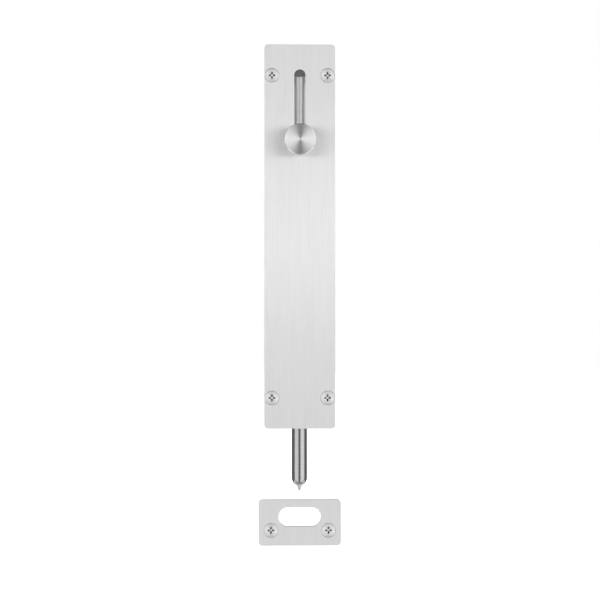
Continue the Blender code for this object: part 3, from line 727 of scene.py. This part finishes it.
def make_foot_fasteners():
    low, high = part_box("weld_stud_1")
    flange_top = low.y + FLANGE_THICKNESS
    rings = rings_of((
        (FLANGE_RADIUS - 0.1 * MM, low.y),
        (FLANGE_RADIUS, low.y + 0.1 * MM),
        (FLANGE_RADIUS, flange_top - 0.1 * MM),
        (FLANGE_RADIUS - 0.1 * MM, flange_top),
        (M3_ROOT, flange_top + 0.05 * MM),
    ))
    rings += thread(flange_top + 0.3 * MM, high.y - 0.25 * MM, M3_PITCH,
                    lambda z: M3_ROOT, lambda z: M3_RADIUS)
    rings += rings_of(((M3_ROOT - 0.1 * MM, high.y),))
    show_screws("weld_stud", 4, solid(loft(rings)), "zinc_steel", TO_BACK, lambda front, back: 0)

    low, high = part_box("foot_washer_1")
    rim, edge = (high.x - low.x) / 2, 0.1 * MM
    ring = (
        (BORE_RADIUS, low.y),
        (rim - edge, low.y),
        (rim, low.y + edge),
        (rim, high.y - edge),
        (rim - edge, high.y),
        (BORE_RADIUS, high.y),
    )
    mesh = solid(turned(ring, ROUND, looped=True))
    show_screws("foot_washer", 4, mesh, "zinc_steel", TO_BACK, lambda front, back: 0)

    low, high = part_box("foot_nut_1")
    corner = NUT_HALF / cos(radians(30))
    hexagon = arc((0, 0), corner, 30, 390, 6)[:-1]
    thickness, drop = high.y - low.y, (corner - NUT_HALF) * 0.6
    barrel = turned((
        (NUT_HALF * 0.97, low.y),
        (corner + 0.1 * MM, low.y + drop),
        (corner + 0.1 * MM, low.y + thickness - drop),
        (NUT_HALF * 0.97, high.y),
    ))
    bore = turned((
        (BORE_RADIUS + 0.35 * MM, low.y - 0.1 * MM),
        (BORE_RADIUS, low.y + 0.25 * MM),
        (BORE_RADIUS, high.y - 0.25 * MM),
        (BORE_RADIUS + 0.35 * MM, high.y + 0.1 * MM),
    ), SMALL)
    mesh = solid(loft([at(hexagon, low.y), at(hexagon, high.y)]), [bore], keep=[barrel])
    show_screws("foot_nut", 4, mesh, "zinc_steel", TO_BACK, lambda front, back: 0)


# Channel, guides, spring and rivet.


def make_channel():
    low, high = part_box("back_channel")
    tip, back = high.x, high.y
    floor, face, out = back - SHEET, SEAT_GAP + SHEET, BEND + SHEET
    inner_x = CHANNEL_HALF - SHEET
    foot_bend, back_bend = (CHANNEL_HALF + BEND, face + BEND), (inner_x - BEND, floor - BEND)
    outer = [(tip, face)] + arc(foot_bend, BEND, 270, 180, CORNER) + arc(back_bend, out, 0, 90, CORNER)
    inner = arc(back_bend, BEND, 90, 0, CORNER) + arc(foot_bend, out, 180, 270, CORNER) + [(tip, SEAT_GAP)]
    mirrored = [(-x, y) for x, y in reversed(outer)] + [(-x, y) for x, y in reversed(inner)]
    outline = outer + mirrored + inner
    body = loft([at(outline, low.z), at(outline, high.z)])

    # The sides stand off the plate away from the feet. Each foot's outer corners are round.
    feet = sorted({round(middle(f"foot_nut_{n}").z, 5) for n in range(1, 5)})
    spans = ((low.z - OVERSHOOT, feet[0] - FOOT_HALF_LENGTH),
             (feet[0] + FOOT_HALF_LENGTH, feet[1] - FOOT_HALF_LENGTH),
             (feet[1] + FOOT_HALF_LENGTH, high.z + OVERSHOOT))
    gaps = bmesh.new()
    reach, near = tip + OVERSHOOT, inner_x - OVERSHOOT
    for side in (-1, 1):
        for start, end in spans:
            outline = []
            for z, run in ((start, 1), (end, -1)):
                if abs(z) < high.z:
                    centre_x, centre_z = tip - FOOT_CORNER, z - run * FOOT_CORNER
                    rounds = arc((0, 0), FOOT_CORNER, 0, 90, CORNER)
                    corner = [(centre_x + x, centre_z + run * y) for x, y in rounds]
                    corner = [(reach, centre_z)] + corner + [(near, z)]
                else:
                    corner = [(reach, z), (near, z)]
                outline += corner if run == 1 else corner[::-1]
            ring = [(side * x, z) for x, z in outline]
            loft([[(x, y, z) for x, z in ring] for y in (-OVERSHOOT, SIDE_STANDOFF)], bm=gaps)

    screws = [(0, -middle(f"guide_screw_{n}").z) for n in range(1, 5)]
    studs = [(middle(f"weld_stud_{n}").x, -middle(f"weld_stud_{n}").z) for n in range(1, 5)]
    rivet = [(0, -middle("spring_rivet").z)]
    holes = (
        (GUIDE_SCREW_HOLE, screws, floor - OVERSHOOT, back + OVERSHOOT),
        (RIVET_HOLE, rivet, floor - OVERSHOOT, back + OVERSHOOT),
        (STUD_HOLE, studs, -OVERSHOOT, face + OVERSHOOT),
    )
    cuts = [gaps]
    for radius, places, start, end in holes:
        bm = turned(((radius, start), (radius, end)), SMALL, places)
        bmesh.ops.transform(bm, matrix=TO_BACK, verts=bm.verts)
        cuts.append(bm)
    show("back_channel", solid(body, cuts, bevel=SHEET_EDGE_ROUND), "zinc_steel")


def make_guides():
    for node in ("upper_guide", "lower_guide"):
        low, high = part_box(node)
        axis_y = middle("bolt_rod").y
        lip = degrees(acos(GUIDE_MOUTH / GUIDE_BORE))
        x, y, corner = high.x - GUIDE_CORNER, high.y - GUIDE_CORNER, GUIDE_CORNER
        outline = [(GUIDE_MOUTH, low.y), (high.x, low.y)]
        outline += arc((x, y), corner, 0, 90, CORNER) + arc((-x, y), corner, 90, 180, CORNER)
        outline += [(-high.x, low.y), (-GUIDE_MOUTH, low.y)]
        outline += arc((0, axis_y), GUIDE_BORE, -lip, 180 + lip, ROUND)[::-1]
        body = loft([at(outline, low.z), at(outline, high.z)])
        screws = [middle(f"guide_screw_{n}").z for n in range(1, 5)]
        places = [(0, -z) for z in screws if low.z < z < high.z]
        floor = axis_y + GUIDE_BORE + GUIDE_SCREW_WALL
        bores = turned(((BORE_RADIUS, floor), (BORE_RADIUS, high.y + OVERSHOOT)), SMALL, places)
        bmesh.ops.transform(bores, matrix=TO_BACK, verts=bores.verts)
        show(node, solid(body, [bores], bevel=GUIDE_EDGE_ROUND), "black_acetal")


def make_rivet():
    low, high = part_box("spring_rivet")
    head = (high.x - low.x) / 2
    front, back = low.y + RIVET_RISE, high.y - RIVET_RISE
    dome = [(head * sin(radians(a)), RIVET_RISE * cos(radians(a))) for a in (12, 30, 48, 66, 80, 90)]
    profile = [(radius, front - height) for radius, height in dome]
    profile += [(RIVET_SHANK, front), (RIVET_SHANK, back)]
    profile += [(radius, back + height) for radius, height in reversed(dome)]
    centre = middle("spring_rivet")
    show("spring_rivet", solid(turned(profile, SMALL)), "zinc_steel", (centre.x, 0, centre.z), TO_BACK)


def make_spring():
    node = frame["nodes"]["friction_spring"]
    node.material_slots[0].material = FINISHES["spring_steel"]


# Bolt.


def make_rod():
    low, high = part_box("bolt_rod")
    radius, centre = (high.x - low.x) / 2, middle("bolt_rod")
    angle = radians(TIP_ANGLE)
    shoulder = radius - TIP_ROUND * (1 - cos(angle))
    cone = (shoulder - NOSE_BASE) * cos(angle) / sin(angle)
    tip = low.z + NOSE_LENGTH
    profile = [(NOSE_END - 0.1 * MM, low.z), (NOSE_END, low.z + 0.1 * MM)]
    profile += [(NOSE_BASE, tip)]
    profile += arc((radius - TIP_ROUND, tip + cone + TIP_ROUND * sin(angle)), TIP_ROUND, -TIP_ANGLE, 0, 10)
    profile += [(radius, high.z - ROD_CHAMFER), (radius - ROD_CHAMFER, high.z)]
    spindle = middle("knob_spindle")
    spot = sqrt(radius**2 - SHOULDER**2)
    bore = turned((
        (2 * MM, MM - radius),
        (2 * MM, spot),
        (SHOULDER + 0.15 * MM, spot),
        (SHOULDER + 0.15 * MM, radius + OVERSHOOT),
    ), SMALL)
    bmesh.ops.transform(bore, matrix=TO_FRONT, verts=bore.verts)
    bmesh.ops.translate(bore, verts=bore.verts, vec=(0, 0, spindle.z - low.z))
    body = turned([(r, z - low.z) for r, z in profile], FINE)
    show("bolt_rod", solid(body, [bore], angle=20), "bright_steel", (centre.x, centre.y, low.z))


def make_spindle():
    low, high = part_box("knob_spindle")
    centre = middle("knob_spindle")
    axis_y = middle("bolt_rod").y
    back, front = axis_y - high.y, axis_y - low.y
    radius = (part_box("bolt_rod")[1].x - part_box("bolt_rod")[0].x) / 2
    seat = sqrt(radius**2 - SHOULDER**2) + SEAT_GAP
    glide = axis_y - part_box("glide_washer")[0].y

    def root(z):
        return SPINDLE_ROOT

    def crest(z):
        return SPINDLE_THREAD

    rings = rings_of(((SPINDLE_ROOT - 0.2 * MM, back),))
    rings += thread(back + 0.25 * MM, seat - 0.3 * MM, SPINDLE_PITCH, root, crest)
    rings += rings_of((
        (SPINDLE_ROOT, seat - 0.1 * MM),
        (SPINDLE_ROOT, seat),
        (SHOULDER - 0.15 * MM, seat),
        (SHOULDER, seat + 0.15 * MM),
        (SHOULDER, glide - 0.15 * MM),
        (SHOULDER - 0.15 * MM, glide),
        (SPINDLE_ROOT, glide),
    ))
    rings += thread(glide + 0.3 * MM, front - 0.25 * MM, SPINDLE_PITCH, root, crest)
    rings += rings_of(((SPINDLE_ROOT - 0.2 * MM, front),))
    show("knob_spindle", solid(loft(rings)), "bright_steel", (centre.x, axis_y, centre.z), TO_FRONT)


def make_knob():
    low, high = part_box("knob")
    head, thickness, centre = (high.x - low.x) / 2, high.y - low.y, middle("knob")
    bore = SPINDLE_THREAD + 0.15 * MM
    profile = [(bore, KNOB_BORE_DEPTH), (bore, 0.2 * MM), (bore + 0.2 * MM, 0)]
    profile += [(NECK_RADIUS - 0.1 * MM, 0), (NECK_RADIUS, 0.1 * MM)]
    profile += arc((NECK_RADIUS + NECK_FILLET, NECK_LENGTH - NECK_FILLET), NECK_FILLET, 180, 90, 6)
    profile += arc((head - KNOB_EDGE, NECK_LENGTH + KNOB_EDGE), KNOB_EDGE, -90, 0, 6)
    profile += arc((head - KNOB_EDGE, thickness - KNOB_EDGE), KNOB_EDGE, 0, 90, 6)
    mesh = solid(turned(profile, FINE), angle=40)
    show("knob", mesh, "turned_steel", (centre.x, high.y, centre.z), TO_FRONT)


def make_glide_washer():
    low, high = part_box("glide_washer")
    rim, edge, inner = (high.x - low.x) / 2, 0.15 * MM, SHOULDER + 0.15 * MM
    thickness, centre = high.y - low.y, middle("glide_washer")
    ring = [(inner, 0), (rim - edge, 0), (rim, edge), (rim, thickness - edge), (rim - edge, thickness)]
    ring.append((inner, thickness))
    mesh = solid(turned(ring, ROUND, looped=True))
    show("glide_washer", mesh, "white_nylon", (centre.x, high.y, centre.z), TO_FRONT)


# Studio.

CAMERA_PLACE = Vector((-0.03, -1.0, -0.033))
CAMERA_TARGET = Vector((0.0001, -0.003, -0.033))
FRAME_SIDE = 0.3124
SENSOR = 36
FLOOR_DROP = 0.14
PANEL_WIDTH, PANEL_HEIGHT, PANEL_POWER = 0.2, 0.14, 0.14
PANEL_SIDE, PANEL_FRONT, PANEL_RISE = 0.45, 0.5, 0.03
FLOOR_SIDE = 12
FLOOR_GLOW = 0.75

# The world's light by direction. Azimuths are degrees from straight ahead of the plate, the same on both
# sides, and elevations are degrees from level. Each light is a share of the panels'.
WORLD_LIGHT, ROOM_LIGHT = 1.385, 0.12
GAP_AZIMUTH, GAP_LIGHT = (8, 24), 0.08  # dark in front
REAR_AZIMUTH, REAR_LIGHT = (100, 130), 0.6
ROOF_ELEVATION, ROOF_LIGHT = (20, 62), 0.15
GROUND_ELEVATION, GROUND_LIGHT = (-80, -40), 0.5
LEFT_SPAN, LEFT_LIGHT = 0.15, 0.88  # the left, -X, is a little dimmer
# A dark strip runs round the back, just below level.
STRIP_AZIMUTH, STRIP_BOTTOM, STRIP_TOP, STRIP_SHADE = (69, 84), (-34, -24), (1, 5), 0.92


def make_camera():
    data = bpy.data.cameras.new("camera")
    data.sensor_width = SENSOR
    data.lens = SENSOR * (CAMERA_TARGET - CAMERA_PLACE).length / FRAME_SIDE
    camera = bpy.data.objects.new("camera", data)
    camera.location = CAMERA_PLACE
    camera.rotation_euler = (CAMERA_TARGET - CAMERA_PLACE).to_track_quat("-Z", "Y").to_euler()
    bpy.context.scene.collection.objects.link(camera)
    bpy.context.scene.camera = camera


def by_angle(tree, angle, span, start, end):
    low, high = span
    return ranged(tree, angle, radians(low), radians(high), start, end, True)


def make_world():
    """White to the camera. What lights the steel is a tall soft panel on each side and one behind."""
    world = bpy.data.worlds.new("studio")
    bpy.context.scene.world = world
    world.use_nodes = True
    tree = world.node_tree
    tree.nodes.clear()
    direction = add_node(tree, "ShaderNodeTexCoord").outputs["Generated"]
    parts = add_node(tree, "ShaderNodeSeparateXYZ", {0: direction}).outputs
    aside, ahead = maths(tree, "ABSOLUTE", parts["X"]), maths(tree, "MULTIPLY", parts["Y"], -1.0)
    azimuth, elevation = maths(tree, "ARCTAN2", aside, ahead), maths(tree, "ARCSINE", parts["Z"])
    strip = multiplied(
        tree,
        by_angle(tree, azimuth, STRIP_AZIMUTH, 0, 1),
        by_angle(tree, elevation, STRIP_BOTTOM, 0, 1),
        by_angle(tree, elevation, STRIP_TOP, 1, 0),
        STRIP_SHADE,
    )
    panels = multiplied(
        tree,
        by_angle(tree, azimuth, GAP_AZIMUTH, GAP_LIGHT, 1),
        by_angle(tree, elevation, ROOF_ELEVATION, 1, ROOF_LIGHT),
        maths(tree, "SUBTRACT", 1.0, strip),
        ranged(tree, parts["X"], -LEFT_SPAN, LEFT_SPAN, LEFT_LIGHT, 1.0),
        by_angle(tree, azimuth, REAR_AZIMUTH, 1, REAR_LIGHT),
        by_angle(tree, elevation, GROUND_ELEVATION, GROUND_LIGHT, 1),
        WORLD_LIGHT,
    )
    total = maths(tree, "ADD", panels, ROOM_LIGHT)
    seen = add_node(tree, "ShaderNodeLightPath").outputs["Is Camera Ray"]
    strength = ranged(tree, seen, 0, 1, total, 1.0)
    back = add_node(tree, "ShaderNodeBackground", {"Color": (1, 1, 1, 1), "Strength": strength})
    output = add_node(tree, "ShaderNodeOutputWorld")
    tree.links.new(back.outputs["Background"], output.inputs["Surface"])


def make_panels():
    """Two small soft panels near the front, which brighten the middle of the plate."""
    for side in (-1, 1):
        data = bpy.data.lights.new("panel", "AREA")
        data.shape, data.size, data.size_y = "RECTANGLE", PANEL_WIDTH, PANEL_HEIGHT
        data.energy = PANEL_POWER
        panel = bpy.data.objects.new("panel", data)
        panel.location = (side * PANEL_SIDE, -PANEL_FRONT, PANEL_RISE)
        to_plate = Vector((0, 0, PANEL_RISE)) - panel.location
        panel.rotation_euler = to_plate.to_track_quat("-Z", "Y").to_euler()
        bpy.context.scene.collection.objects.link(panel)


def make_floor():
    floor_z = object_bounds()[0].z - FLOOR_DROP
    _, shader, finish = new_finish("floor_finish", (0.9, 0.9, 0.9), 0.8, 0.0)
    shader.inputs["Emission Color"].default_value = (1, 1, 1, 1)
    shader.inputs["Emission Strength"].default_value = FLOOR_GLOW
    bm = bmesh.new()
    half = FLOOR_SIDE / 2
    corners = [(x * half, y * half, floor_z) for x, y in ((-1, -1), (1, -1), (1, 1), (-1, 1))]
    bm.faces.new([bm.verts.new(corner) for corner in corners])
    mesh = bpy.data.meshes.new("floor")
    bm.to_mesh(mesh)
    bm.free()
    mesh.materials.append(finish)
    floor = bpy.data.objects.new("floor", mesh)
    floor.visible_glossy = floor.visible_diffuse = False
    bpy.context.scene.collection.objects.link(floor)


bpy.context.scene.view_settings.view_transform = "Standard"
make_camera()
make_world()
make_panels()
make_plates()
make_wood_screws()
make_guide_screws()
make_foot_fasteners()
make_channel()
make_guides()
make_rivet()
make_spring()
make_rod()
make_spindle()
make_knob()
make_glide_washer()
make_floor()
